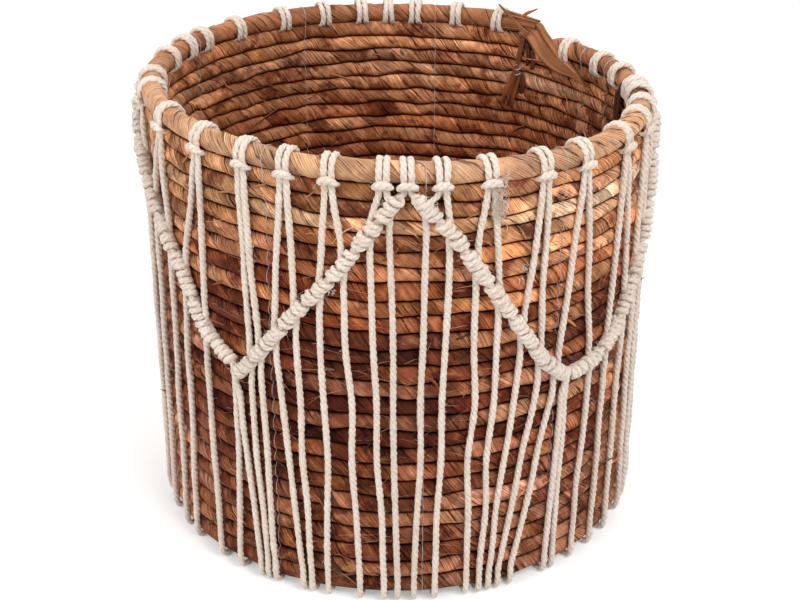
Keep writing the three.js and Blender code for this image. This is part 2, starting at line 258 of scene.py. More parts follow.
def rim_height(angle, share=None):
    """Height of the rim's middle at an angle, or after a share of its turn."""
    if share is None:
        share = ((SEAM - np.asarray(angle, float)) % 360) / 360
    first = GROUND_LIFT + mm(tub().rope) / 2
    step = (mm(tub().rim) - mm(tub().rope)) / 2 + RIM_GAP - ROW_GAP
    return leaning(first + row_pitch() * (SOLID_ROWS + share) + step, angle)


def groove(turns):
    """Height of the wavy groove under the rope, after so many turns."""
    rise = np.maximum(rise_of(turns), 0)
    height = GROUND_LIFT + mm(tub().rope) * (LOWEST_ROW * rise - THINNING * rise**2)
    wave = 0.85 * wander(3, turns * 34) + 0.5 * wander(4, turns * 90)
    return leaning(height, SEAM - 360 * turns) + np.where(turns < 1, 0.4, 1) * wave


def rope_faces(turns):
    """Height of the rope's middle, its half height and its half depth."""
    low = groove(turns)
    under_rim = rim_height(SEAM - 360 * turns, turns % 1) - mm(tub().rim) / 2 + 0.6
    high = np.where(turns + 1 > WALL_ROWS, under_rim, groove(turns + 1))
    depth = mm(tub().rope) / 2 * (1 + 0.045 * wander(5, turns * 40) + 0.02 * wander(6, turns * 120))
    return (low + high) / 2, (high - low) / 2, depth


# Meshes


def add_object(name, points, faces, maps, tones=None, material=None, slot=None, node=None):
    """A new piece from points in millimetres and faces as lists of indices of one length each."""
    mesh = bpy.data.meshes.new(name)
    sizes = np.concatenate([np.full(len(f), f.shape[1]) for f in faces])
    corners = np.concatenate([f.ravel() for f in faces])
    mesh.vertices.add(len(points))
    mesh.vertices.foreach_set("co", (points * 0.001).astype(np.float32).ravel())
    mesh.loops.add(len(corners))
    mesh.loops.foreach_set("vertex_index", corners.astype(np.int32))
    mesh.polygons.add(len(sizes))
    starts = np.concatenate([[0], np.cumsum(sizes)[:-1]])
    mesh.polygons.foreach_set("loop_start", starts.astype(np.int32))
    mesh.polygons.foreach_set("loop_total", sizes.astype(np.int32))
    mesh.polygons.foreach_set("use_smooth", np.full(len(sizes), True))
    for layer, values in maps.items():
        layer = mesh.uv_layers.new(name=layer)
        layer.data.foreach_set("uv", np.concatenate(values).astype(np.float32).ravel())
    if tones is not None:
        attribute = mesh.attributes.new("Tone", "FLOAT_COLOR", "POINT")
        rgba = np.concatenate([tones, np.ones((len(tones), 1))], 1)
        attribute.data.foreach_set("color", rgba.astype(np.float32).ravel())
    mesh.update(calc_edges=True)
    mesh.validate()
    mesh.materials.append(material)
    piece = bpy.data.objects.new(name, mesh)
    bpy.context.scene.collection.objects.link(piece)
    if slot:
        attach(piece, "root")
    if node:
        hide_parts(node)
    return piece


def tube_faces(count, sides):
    """Faces of a closed tube of count rings, as quads and two end caps, and the quads' ring and side."""
    i, j = np.meshgrid(np.arange(count - 1), np.arange(sides), indexing="ij")
    i, j = i.ravel(), j.ravel()
    k = (j + 1) % sides
    quads = np.stack([i * sides + j, i * sides + k, (i + 1) * sides + k, (i + 1) * sides + j], 1)
    start = np.arange(sides)[None, ::-1]
    end = (count - 1) * sides + np.arange(sides)[None]
    return quads, start, end, i, j


def tube(name, rings, along, tones=None, strips=None, **facts):
    """A closed tube over rings of points. U is metres along it and V the share of the way round.
    A second map holds the place among the strips of bark, where a function of both is given."""
    count, sides = rings.shape[:2]
    quads, start, end, i, j = tube_faces(count, sides)
    points = rings.reshape(-1, 3)
    u, v = along * 0.001, np.arange(sides + 1) / sides
    uv = np.stack([u[i], v[j], u[i], v[j + 1], u[i + 1], v[j + 1], u[i + 1], v[j]], 1).reshape(-1, 2)
    caps = np.stack([np.full(sides, u[0]), v[:-1][::-1]], 1), np.stack([np.full(sides, u[-1]), v[:-1]], 1)
    a, b, c = (points[quads[:, k]] for k in (0, 1, 2))
    if np.einsum("ij,ij->", a, np.cross(b, c)) < 0:
        quads, start, end = quads[:, ::-1], start[:, ::-1], end[:, ::-1]
        uv = uv.reshape(-1, 4, 2)[:, ::-1].reshape(-1, 2)
        caps = caps[0][::-1], caps[1][::-1]
    if tones is not None:
        tones = np.broadcast_to(tones.reshape(count, -1, 3), (count, sides, 3)).reshape(-1, 3)
    maps = {"Along": [uv, *caps]}
    if strips:
        maps["Strips"] = [np.stack([strips(m[:, 0] * 1000, m[:, 1]), m[:, 1]], 1) for m in maps["Along"]]
    return add_object(name, points, [quads, start, end], maps, tones, **facts)


def path_lengths(points):
    steps = np.linalg.norm(np.diff(points, axis=0), axis=1)
    return np.concatenate([[0], np.cumsum(steps)])


def rounded(points, spacing, rows=()):
    """A smooth curve through points, at an even spacing, and the rows of numbers that go with them."""
    points = np.asarray(points, float)
    before = np.vstack([2 * points[:1] - points[1:2], points, 2 * points[-1:] - points[-2:-1]])
    p0, p1, p2, p3 = before[:-3], before[1:-2], before[2:-1], before[3:]
    t = np.linspace(0, 1, 9)[:-1][None, :, None]
    gap = [np.maximum(np.linalg.norm(step, axis=1), 1e-3)[:, None] for step in (p1 - p0, p2 - p1, p3 - p2)]
    m1 = ((p1 - p0) / gap[0] + (p2 - p1) / gap[1]) / 2 * gap[1]
    m2 = ((p2 - p1) / gap[1] + (p3 - p2) / gap[2]) / 2 * gap[1]
    h = [2 * t**3 - 3 * t**2 + 1, t**3 - 2 * t**2 + t, -2 * t**3 + 3 * t**2, t**3 - t**2]
    fine = h[0] * p1[:, None] + h[1] * m1[:, None] + h[2] * p2[:, None] + h[3] * m2[:, None]
    fine = np.vstack([fine.reshape(-1, 3), points[-1:]])
    place = np.append((np.arange(len(points) - 1)[:, None] + t[0, :, 0][None]).ravel(), len(points) - 1)
    lengths = path_lengths(fine)
    even = np.linspace(0, lengths[-1], max(int(lengths[-1] / spacing), 3) + 1)
    at = np.interp(even, lengths, place)
    return between(even, lengths, fine), even, [between(at, np.arange(len(points)), row) for row in rows]


def ring_offsets(curve, first_side, angles):
    """Unit offsets at angles round each point of a curve, turned as little as possible along it."""
    tangent = unit(np.gradient(curve, axis=0))
    side = np.empty_like(curve)
    s = first_side
    for i, t in enumerate(tangent):
        s = unit(s - t * (s @ t))
        side[i] = s
    other = np.cross(tangent, side)
    return np.cos(angles)[..., None] * side[:, None] + np.sin(angles)[..., None] * other[:, None]


def pressed(offsets, direction, share):
    """Offsets of rings with a share of their extent along a direction."""
    reach = np.einsum("ijk,ik->ij", offsets, direction)
    return offsets + ((share - 1) * reach)[:, :, None] * direction[:, None, :]


# Bark rope


def rope_section(sides, power):
    """Outward and upward shares of a rope's section, evenly spaced from its lowest point up its
    outer face."""
    a = np.linspace(-np.pi / 2, 3 * np.pi / 2, 1441)
    x, y = np.cos(a), np.sin(a)
    x, y = np.sign(x) * np.abs(x) ** (2 / power), np.sign(y) * np.abs(y) ** (2 / power)
    lengths = path_lengths(np.stack([x, y], 1))
    even = np.arange(sides) / sides * lengths[-1]
    return np.interp(even, lengths, x), np.interp(even, lengths, y)


def strips_of(lay, seed):
    """A function that counts the strips of bark from a place along a rope, in millimetres, and the
    share of the way round it."""
    def count(along, v):
        turned = along / lay - v
        return 1.6 * turned + 0.5 * wander(seed, 1.1 * turned) + 0.03 * wander(seed + 1, 4 * v + 2.3 * turned)
    return count


def fluted(along, sides, strips):
    """Saw-tooth lift of the strips over a rope's surface, from -0.5 to 0.5."""
    return (strips(along[:, None], np.arange(sides)[None] / sides) % 1) ** 1.4 - 0.45


def shade_of(turns):
    """Linear colours along the wall's rope, blending between rows and changing along each. Painted light
    and shade lie over them: the upper rows are painted darker at the front left, lighter towards the
    front right and whiter there as a painted highlight, and the dark rows lighter away from the front
    left.
    """
    t = tub()
    palette = {"T": t.tan, "G": t.gold, "R": t.rust, "M": t.middle, "D": t.dark, "U": t.umber,
               "A": t.ash, "B": t.brown}
    rows = np.array([palette[k] for k in ROW_SHADES[::-1]])
    place = np.clip(turns + 0.1 + 0.12 * wander(11, turns * 2.5), 0, WALL_ROWS - 1e-3)
    row = np.floor(place).astype(int)
    blend = smoothstep(place - row, 0.94, 1)[:, None]
    tone = rows[row] * (1 - blend) + rows[np.minimum(row + 1, WALL_ROWS - 1)] * blend
    patch = wander(12, turns * 9) * 0.17 + wander(13, turns * 26) * 0.13
    hue = 0.12 * wander(14, turns * 15)[:, None] * np.array([0.2, 0.0, -0.5])
    pale = smoothstep(wander(15, turns * 14), 0.9, 1.5)[:, None] * 0.4
    toned = tone * (np.exp(patch)[:, None] * np.exp(hue)) * (1 - pale) + pale * np.array(t.tan) * 0.8
    angle = nearest(SEAM - 360 * turns, 0)
    depth = WALL_ROWS - turns
    # Painted light and shade round the wall: the upper rows darker at the front left and lighter towards the
    # front right, the dark rows lighter away from the front left
    front_left = np.exp(-((angle + 18) / 34) ** 2)[:, None]
    dark_part = smoothstep(depth, 8.6, 9.4)[:, None]
    front_left_shade = np.exp(-front_left * smoothstep(depth, 1.5, 5)[:, None] * np.array([0.35, 0.6, 0.7]))
    dark_row_light = np.exp((1 - front_left) * np.array([0.87, 1.03, 1.12])) * np.array([1.15, 0.96, 0.8])
    # Painted highlight: upper rows at the front right painted paler and whiter (the loose bark's own share of
    # bleaching goes by the same name)
    bleach_and_highlight = smoothstep(angle, 15, 35) * (1 - smoothstep(angle, 62, 80))
    bleach_and_highlight = (bleach_and_highlight * np.exp(-((depth - 3.0) / 1.2) ** 2))[:, None]
    right_front_light = 1 + np.exp(-((angle - 42) / 45) ** 2)[:, None] * np.array([0.30, 0.20, 0.15])
    toned = toned * (front_left_shade * right_front_light * (1 - dark_part) + dark_row_light * dark_part)
    return np.clip(toned * (1 + bleach_and_highlight * np.array([0.12, 0.4, 0.75])), 0, 1)


def shaded_inside(tones, x):
    """Colours round each section, painted nearer to one brown on the side towards the basket's middle:
    painted shade on the pale rows and painted light on the dark ones.
    """
    inward = 0.5 * smoothstep(-x, 0, 0.5)[None, :, None]
    return tones[:, None] * (1 - inward) + np.array(tub().inner) * inward


def wall_rope(name, from_turn, to_turn, sides, slot, node):
    """A length of the wall's rope between two counts of turns from the seam, thinner at its ends."""
    turns = np.linspace(from_turn, to_turn, int((to_turn - from_turn) * STEPS_A_TURN) + 1)
    centre, half_height, half_depth = rope_faces(turns)
    along = turns * 2 * np.pi * ring()
    end = np.minimum(along - along[0], along[-1] - along)
    narrow = 0.35 + 0.65 * smoothstep(end, -1, 7)
    x, y = rope_section(sides, ROPE_SQUARENESS)
    strips = strips_of(mm(tub().rope_lay), 21)
    lift = 0.75 * fluted(along, sides, strips)
    lumps = 0.16 * wander(22, along[:, None] / 9 + np.arange(sides)[None] * 0.9)
    out = x[None] * (half_depth[:, None] + (lift + lumps) * np.abs(x)[None]) * narrow[:, None]
    high = y[None] * (half_height * 0.985)[:, None] * narrow[:, None]
    angle = (SEAM - 360 * turns)[:, None]
    rings = polar(ring() + out, angle, centre[:, None] + high)
    tube(name, rings, along, shaded_inside(shade_of(turns), x), strips,
         material=twisted_bark(), slot=slot, node=node)


def rim_rope():
    """One turn of thicker rope over the wall's last row, thinner at its ends."""
    share = np.linspace(0.017, 1, 2 * STEPS_A_TURN + 1)
    sides = 26
    along = share * 2 * np.pi * ring()
    angle = SEAM - 360 * share
    strips = strips_of(mm(tub().rim_lay), 31)
    lift = 0.7 * fluted(along, sides, strips)
    lumps = 0.25 * wander(32, along[:, None] / 14 + np.arange(sides)[None] * 0.5)
    x, y = rope_section(sides, 2.1)
    size = mm(tub().rim) / 2 * (1 + 0.03 * wander(33, along / 22))[:, None] + lift + lumps
    ends = smoothstep(along - along[0], -2, 12) * smoothstep(along[-1] - along, -6, 26)
    size *= (0.4 + 0.6 * ends)[:, None]
    wave = 0.5 * wander(34, share * 22)[:, None]
    rings = polar(ring() + x * size, angle[:, None], rim_height(angle, share)[:, None] + y * size + wave)
    patch = np.exp(0.11 * wander(35, share * 24) + 0.08 * wander(36, share * 72))[:, None]
    # Painted shade: the rim's back half is painted darker and warmer
    rim_back_shade = smoothstep(np.abs(nearest(angle, 0)), 60, 125)[:, None]
    tone = np.array(tub().rim_tan) * patch * (1 - rim_back_shade * np.array([0.28, 0.46, 0.55]))
    tube("Rim_Rope", rings, along, np.clip(tone, 0, 1), strips,
         material=rim_bark(), slot="rim_bark", node="rim_rope")


def base_rope():
    """The flat coil inside the foot of the wall. It thins out to nothing beside the wall over its
    outermost turn, and closes the middle at its inner end."""
    pitch = row_pitch()
    edge = ring() - BASE_INSET
    places = [-350.0]
    while edge - pitch * places[-1] / 360 > 2.2:
        radius = edge - pitch * max(places[-1], 0) / 360
        places.append(places[-1] + min(np.degrees(2.8 / radius), 24))
    angle = np.array(places)
    outer = edge - pitch * np.maximum(angle, 0) / 360
    inner = np.maximum(edge - pitch * (angle / 360 + 1), 0)
    centre = polar((outer + inner) / 2, SEAM + angle, 0)
    along = path_lengths(centre)
    sides = 14
    y, x = rope_section(sides, 2.5)
    y = -y
    thin = smoothstep(outer - inner, -2, 10)[:, None]
    height = mm(tub().rope) * 0.46
    strips = strips_of(mm(tub().rope_lay), 41)
    lift = 0.5 * fluted(along, sides, strips) * np.abs(y)[None]
    wave = 0.35 * wander(42, along / 40)[:, None]
    high = np.where(y[None] < 0, -height, (height + lift + wave * 0.4) * thin) * np.abs(y)[None]
    out = x[None] * ((outer - inner) / 2 + 0.25)[:, None]
    rings = polar(((outer + inner) / 2)[:, None] + out, (SEAM + angle)[:, None], height + high)
    tone = shade_of(1 + 14 * along / along[-1]) * 0.9
    tube("Base_Rope", rings, along, tone, strips, material=twisted_bark(), slot="dark_bark", node="base_coil")


# Materials


class Socket:
    """A node's output with operators, each of which adds its Math node."""

    def __init__(self, nodes, link):
        self.nodes = nodes
        self.link = link

    def math(self, operation, *others):
        return self.nodes.add("Math", {"operation": operation}, [self, *others])

    def __add__(self, other):
        return self.math("ADD", other)

    def __sub__(self, other):
        return self.math("SUBTRACT", other)

    def __rsub__(self, other):
        return self.nodes.add("Math", {"operation": "SUBTRACT"}, [other, self])

    def __mul__(self, other):
        return self.math("MULTIPLY", other)

    def fract(self):
        return self.math("FRACT")

    def off_middle(self):
        return (self - 0.5).math("ABSOLUTE")

    def ramp(self, low, high, to_low=0.0, to_high=1.0):
        return self.nodes.add(
            "MapRange", {"interpolation_type": "SMOOTHSTEP"},
            {"Value": self, "From Min": low, "From Max": high, "To Min": to_low, "To Max": to_high})


class Nodes:
    """The node tree of a new material or world."""

    def __init__(self, owner):
        self.owner = owner
        owner.use_nodes = True
        owner.node_tree.nodes.clear()

    def add(self, kind, settings=None, values=None, output=0):
        tree = self.owner.node_tree
        node = tree.nodes.new("ShaderNode" + kind)
        for name, value in (settings or {}).items():
            setattr(node, name, value)
        pairs = values.items() if isinstance(values, dict) else enumerate(values or [])
        for name, value in pairs:
            if isinstance(value, Socket):
                tree.links.new(value.link, node.inputs[name])
            else:
                node.inputs[name].default_value = value
        return Socket(self, node.outputs[output]) if node.outputs else None

    def mix(self, share, a, b, blend="MIX"):
        return self.add("Mix", {"data_type": "RGBA", "blend_type": blend}, {0: share, 6: a, 7: b}, 2)

    def tinted(self, colour, *tints):
        """A colour multiplied by tints in turn, each in so far as its share is 1."""
        for share, tint in tints:
            colour = self.mix(share, colour, (*tint, 1), "MULTIPLY")
        return colour

    def lit(self, colour, light):
        return self.mix(1.0, colour, self.add("CombineXYZ", None, [light] * 3), "MULTIPLY")

    def split(self, value, kind="Color"):
        """The parts of a colour or of a vector."""
        first = self.add(f"Separate{kind}", None, [value])
        return [Socket(self, output) for output in first.link.node.outputs]

    def uv(self, name):
        return self.split(self.add("UVMap", {"uv_map": name}), "XYZ")[:2]

    def place(self):
        return self.add("TexCoord", output="Object")

    def tone(self):
        return self.add("Attribute", {"attribute_name": "Tone"})

    def noise(self, vector, detail=2.0, roughness=0.5, scale=1.0):
        if isinstance(vector, tuple):
            vector = self.add("CombineXYZ", None, vector)
        return self.add("TexNoise", None,
                        {"Vector": vector, "Scale": scale, "Detail": detail, "Roughness": roughness})

    def bump(self, height, strength, distance):
        return self.add("Bump", None, {"Strength": strength, "Distance": distance, "Height": height})

    def finish(self, **sockets):
        names = {key.replace("_", " "): value for key, value in sockets.items()}
        self.add("OutputMaterial", None, {"Surface": self.add("BsdfPrincipled", None, names)})
        return self.owner


def shared(name):
    """Has a function build the material of a name only where it isn't there yet."""
    def wrapped(build):
        return lambda: bpy.data.materials.get(name) or build(Nodes(bpy.data.materials.new(name)))
    return wrapped


def bark(n, lay, contrast, groove_shade_and_greying):
    """Bark in strips wound round a rope: a colour a strip, striations along the fibres, dark patches and
    pale hairs, with painted shade in the creases between strips, in cracks along the fibres and, where
    its last share is given, in the grooves between rows. Light tones are greyer than dark ones."""
    around = 35.0
    u, v = n.uv("Along")
    place, _ = n.uv("Strips")
    strip = place.math("FLOOR")
    inside = place.fract()
    bright, warm, slant = n.split(n.add("TexWhiteNoise", {"noise_dimensions": "1D"}, {"W": strip}, "Color"))
    down = u * 650.0 + v * 27.0
    narrowed = lay * around / (lay**2 + around**2) ** 0.5
    across = (u * (1000 / lay) - v) * narrowed + (slant - 0.5) * down * 0.55
    shift = strip * 7.31
    fibre = n.noise((across * 0.95, down * 0.016, shift), 2.0, 0.7)
    hair = n.noise((across * 2.2, down * 0.03, shift + 3.0), 2.0, 0.6)
    band = n.noise((across * 0.26, down * 0.03, shift + 6.0), 2.0, 0.5)
    slit = n.noise((across * 0.6, down * 0.035, shift + 9.0), 1.0, 0.5)
    patch = n.noise((u * 85.0, v * 3.0, 2.0), 3.0, 0.6)
    stain = n.noise((u * 30.0, v * 1.1, 8.0), 4.0, 0.65)
    ember = n.noise((u * 55.0, v * 2.2, 15.0), 3.0, 0.6)
    # Painted shade in the grooves between rows: groove falls to 0 at a row's top and bottom edges
    side = (v * 2.0).fract()
    groove = side.ramp(0.12, 0.225) * (1 - side).ramp(0.12, 0.225)
    near_groove = side.off_middle() * 2.0
    # Painted shade: crease is low where a strip's edge folds under the next and near the rows' grooves, and
    # crack marks slits among the fibres; both are painted dark below
    fold = inside.ramp(0.0, 0.13) * (1 - inside).ramp(0.0, 0.02)
    crease = (fold + (near_groove * -0.55 + 0.62) * patch.ramp(0.35, 0.5)).math("MINIMUM", 1.0)
    crack = slit.ramp(0.30, 0.34)
    light = (bright * 0.9 + 0.58) * fibre.ramp(0.36, 0.64, 0.70, 1.2) * band.ramp(0.3, 0.7, 0.84, 1.16)
    light = light * patch.ramp(0.3, 0.7, 0.75, 1.25)
    scratch = ((across + fibre * 1.6) * 0.78).fract().off_middle().ramp(0.28, 0.46)
    scratch = scratch * band.ramp(0.35, 0.6) * patch.ramp(0.6, 0.45, 0.35, 1.0)
    tone = n.tone()
    pale = n.split(tone)[0].ramp(0.16, 0.36)
    deep = n.tinted(
        n.mix(contrast, tone, n.lit(tone, light)),
        (warm * 0.8 * contrast, (1.08, 0.97, 0.78)),
        (stain.ramp(0.45, 0.33) * 0.75 * contrast, (1.35, 1.6, 1.8)),
        (ember.ramp(0.52, 0.66) * (1 - pale) * contrast, (1.8, 2.1, 1.7)),
        (stain.ramp(0.53, 0.63) * 0.9 * contrast, (0.36, 0.29, 0.36)),
        (hair.ramp(0.57, 0.70) * 0.8, (1.7, 1.85, 1.9)),
        (hair.ramp(0.44, 0.31) * 0.9, (0.40, 0.30, 0.26)),
        (scratch * (pale * 0.75 + 0.25), (0.36, 0.24, 0.20)),
        # painted shade in the cracks and in the creases
        ((1 - crack) * 0.9, (0.16, 0.1, 0.08)),
        ((1 - crease) * 0.92, (0.16, 0.1, 0.08)),
        # painted shade, near black, in the grooves between rows
        ((1 - groove) * groove_shade_and_greying, (0.09, 0.055, 0.05)),
    )
    strength = n.split(deep)[0].ramp(0.12, 0.5)
    faded = n.tinted(
        deep, ((1 - strength) * groove_shade_and_greying, (1.05, 0.92, 0.86)), (strength * groove_shade_and_greying, (1.08, 1.38, 1.72)))
    height = crease * 0.6 + crack * 0.3 + fibre * 0.5 + hair * 0.25 + band * 0.35 + patch * 0.2
    return n.finish(
        Base_Color=faded, Roughness=fibre * 0.3 + 0.42 + (1 - crease) * 0.15,
        Normal=n.bump(height, 1.0, 0.0017), Specular_IOR_Level=0.09)


# The wall's rope takes the painted groove shade and the greying of light tones; the rim's takes neither
@shared("Twisted Bark")
def twisted_bark(n):
    return bark(n, mm(tub().rope_lay), contrast=1.0, groove_shade_and_greying=0.95)


@shared("Rim Bark")
def rim_bark(n):
    return bark(n, mm(tub().rim_lay), contrast=0.4, groove_shade_and_greying=0.0)


@shared("Flat Bark Strip")
def flat_bark(n):
    u, v = n.uv("Along")
    fibre = n.noise((u * 25.0, v * 42.0, 0.0), 3.0, 0.6)
    streak = n.noise((u * 12.0, v * 15.0, 5.0))
    fine = n.noise((u * 60.0, v * 130.0, 8.0), 2.0, 0.6)
    lit = n.lit(n.tone(), (fibre * 0.7 + 0.65) * (streak * 0.6 + 0.7))
    streaked = n.tinted(lit, (streak.ramp(0.42, 0.32) * 0.8, (0.3, 0.2, 0.16)))
    height = fibre * 0.5 + streak * 0.6 + fine * 0.2
    return n.finish(Base_Color=streaked, Roughness=fibre * 0.2 + 0.5, Normal=n.bump(height, 0.8, 0.001),
                    Specular_IOR_Level=0.18)


@shared("Twisted Cotton")
def twisted_cotton(n):
    """Unbleached cotton in three strands, with its yarns and specks, and painted shade in the valleys
    between the strands.
    """
    u, v = n.uv("Along")
    # valley marks the valleys between the strands: it paints shade in them and lowers them in the bump
    valley = (v * 3.0).fract().off_middle().ramp(0.3, 0.5)
    thread = n.noise((u * 500.0, v * 40.0, 0.0), 2.0, 0.6)
    yarn = n.noise((u * 110.0, v * 42.0, 3.0), 2.0, 0.6)
    fuzz = n.noise(n.place(), 3.0, 0.7, 1700.0)
    fleck = n.noise(n.place(), 2.0, 0.6, 620.0)
    patch = n.noise(n.place(), scale=35.0)
    shade = n.tinted(
        (*cords().cotton, 1),
        (patch.ramp(0.35, 0.7) * 0.5, (0.93, 0.88, 0.82)),
        (yarn.ramp(0.35, 0.62, 0.3, 0.0), (0.84, 0.78, 0.70)),
        (fleck.ramp(0.54, 0.38) * 0.6, (0.84, 0.73, 0.63)),
        # painted shade in the valleys
        (valley * 0.4, (0.72, 0.61, 0.52)),
    )
    height = yarn * 0.7 + thread * 0.4 + fuzz * 0.5 + fleck * 0.9 - valley * 0.3
    return n.finish(Base_Color=shade, Roughness=fuzz * 0.1 + 0.84, Normal=n.bump(height, 0.9, 0.0005),
                    Specular_IOR_Level=0.2, Sheen_Weight=0.15, Sheen_Roughness=0.6)


@shared("Clear Thread")
def clear_thread(n):
    dust = n.noise(n.place(), 2.0, 0.6, 400.0)
    dusty = n.tinted((*cords().clear, 1), (dust.ramp(0.4, 0.7), (0.8, 0.76, 0.72)))
    return n.finish(Base_Color=dusty, Roughness=dust * 0.2 + 0.15, Alpha=0.5, Specular_IOR_Level=0.7)


@shared("Pale Floor")
def pale_floor(n):
    """A matt floor that keeps the shadows on it and shows white to the camera, plain white far off."""
    grain = n.noise(n.place(), scale=60.0)
    matt = n.add("BsdfPrincipled", None, {
        "Base Color": n.mix(grain * 0.02, (0.85, 0.85, 0.85, 1), (0.7, 0.7, 0.7, 1)), "Roughness": 0.9,
        "Specular IOR Level": 0.1})
    glow, plain = (n.add("Emission", None, {"Color": WHITE, "Strength": k}) for k in (0.34, 1.0))
    camera = n.add("LightPath", output="Is Camera Ray")
    shown = n.add("MixShader", None, [camera, matt, n.add("AddShader", None, [matt, glow])])
    away = n.add("VectorMath", {"operation": "LENGTH"}, [n.place()], "Value").ramp(0.75, 2.4)
    n.add("OutputMaterial", None, {"Surface": n.add("MixShader", None, [away * camera, shown, plain])})
    return n.owner


def white_world():
    """Surroundings that are white to the camera and in reflections, and dimmer as a light."""
    n = Nodes(bpy.data.worlds.new("Studio"))
    seen = n.add("LightPath", output="Is Camera Ray")
    for kind in ("Is Transmission Ray", "Is Glossy Ray"):
        seen = seen.math("MAXIMUM", n.add("LightPath", output=kind))
    level = n.add("MapRange", None, {"Value": seen, "To Min": 0.36, "To Max": 1.0})
    n.add("OutputWorld", None, {"Surface": n.add("Background", None, {"Color": WHITE, "Strength": level})})
    return n.owner


# Cotton cords


def knot_axis(row):
    """The line that the holding cord of a row of knots follows: places along it, its points, and a
    function that finds the place of an angle from the apex head."""
    apex, side, crossings, low, _ = row
    reach = np.linspace(0, low[0] + 2, 500)
    marks = np.array([(0.0, 0.45), *crossings, low, (low[0] + 4, low[1] + 0.1)])
    window = np.exp(-0.5 * (np.arange(-20, 21) / 9) ** 2)
    drop = np.pad(np.interp(reach, *marks.T), 20, "edge")
    drop = np.convolve(drop, window / window.sum(), "valid")
    angle = HEADS[apex] + side * reach
    points = polar(wall_face() + ROW_STANDOFF, angle, rim_height(angle) - row_pitch() * drop)
    places = path_lengths(points)
    return places, points, lambda r: np.interp(r, reach, places)


def on_axis(axis, place):
    """Points of a row's line, and the ways along it, out from it and up across both."""
    where, ahead, behind = (between(np.asarray(place) + step, *axis[:2]) for step in (0, 1.5, -1.5))
    along = unit(ahead - behind)
    out = unit(where * LEVEL)
    up = np.cross(out, along)
    return where, along, out, up * np.sign(up[..., 2:3])


def leg_plan(head, hand):
    """The row of knots that a leg joins, and its place there, or -1 where it holds the row."""
    rows = {row[:2]: row for row in KNOT_ROWS}
    chevron, count = divmod((2 * head - (hand < 0)) % 64, 16)
    falling, rising = rows[8 * chevron, 1], rows[8 * (chevron + 1) % 32, -1]
    in_falling = count <= len(falling[2])
    order = count if in_falling else 15 - count
    return (falling if in_falling else rising), (0 if order == 0 else -1 if order == 1 else order - 1)


# The points of a cord are rows of seven numbers: a point, the share of its size that a cord keeps
# along a way there, and that way


def unpressed(points):
    return np.column_stack([points, np.tile([1, 0, 0, 1.0], (len(points), 1))])


def behind(axis, *places):
    where, _, out, _ = on_axis(axis, places)
    return np.column_stack([where - out * WRAP_BEHIND, np.full(len(places), WRAP_PRESS), out])


def wound(axis, from_place, to_place, turns, rng):
    """Points of a cord that winds round a row's line, from behind it and over its top to the front."""
    t = np.linspace(0, 1, int(round(turns * 12)) + 1)
    theta = np.pi - 2 * np.pi * turns * t
    seeds = rng.integers(4000, size=2)
    drift = 0.8 * wander(seeds[0], t * turns * 2) * np.sin(np.pi * t)
    where, _, out, up = on_axis(axis, from_place + (to_place - from_place) * t + drift)
    swell = 1 + 0.1 * wander(seeds[1], t * turns * 2)
    x, y = np.cos(theta), np.sin(theta)
    ways = out * x[:, None] + up * y[:, None]
    points = where + out * (WRAP_OUT * x * swell)[:, None] + up * (WRAP_UP * y * swell)[:, None]
    return np.column_stack([points, np.full(len(points), WRAP_PRESS), ways])


def head_points(angle, hand, lean):
    """Half of a cord's head from the front of the rim, over it and under it to the middle of the
    front bar. A spot is its distances out from the rim's middle, aside and up, the share of its
    size that the cord keeps there, and the way it is pressed, out and up."""
    loop = mm(tub().rim) / 2 + 1.5
    arc = np.radians(np.arange(-8, 200, 16))
    over = [(loop * x, 2.25 + lean * y, loop * y, 0.84, x, y) for x, y in zip(np.cos(arc), np.sin(arc))]
    spots = np.array([
        (7.4, 2.1, -9.3, 0.66, 0.9, -0.3),
        (7.6, 2.0, -4.6, 0.60, 0.9, -0.3),
        *over,
        (-7.4, 2.7, -5.6, 0.7, -0.8, -0.6),
        (-4.0, 3.3, -7.9, 0.55, -0.3, -1),
        (1.5, 4.0, -8.4, 0.55, 0.1, -1),
        (6.3, 4.6, -7.4, 0.7, 0.5, -0.8),
        (9.3, 4.4, -5.6, 1.0, 0.8, -0.5),
        (10.4, 2.6, -4.4, 1.25, 0, 1),
        (10.7, 0, -4.3, 1.3, 0, 1),
    ])
    out, aside, high, share, way_out, way_up = spots.T[:, :, None]
    points = polar(ring(), angle, rim_height(angle)) + outward(angle) * out
    points += sideways(angle) * aside * hand + UP * high
    return np.column_stack([points, share, unit(outward(angle) * way_out + UP * way_up)])


def swaying(size, share, steps, rng):
    """A free length's stray to the side, none at its ends."""
    return size * wander(int(rng.integers(4000)), share * steps / 4) * np.sin(np.pi * share)


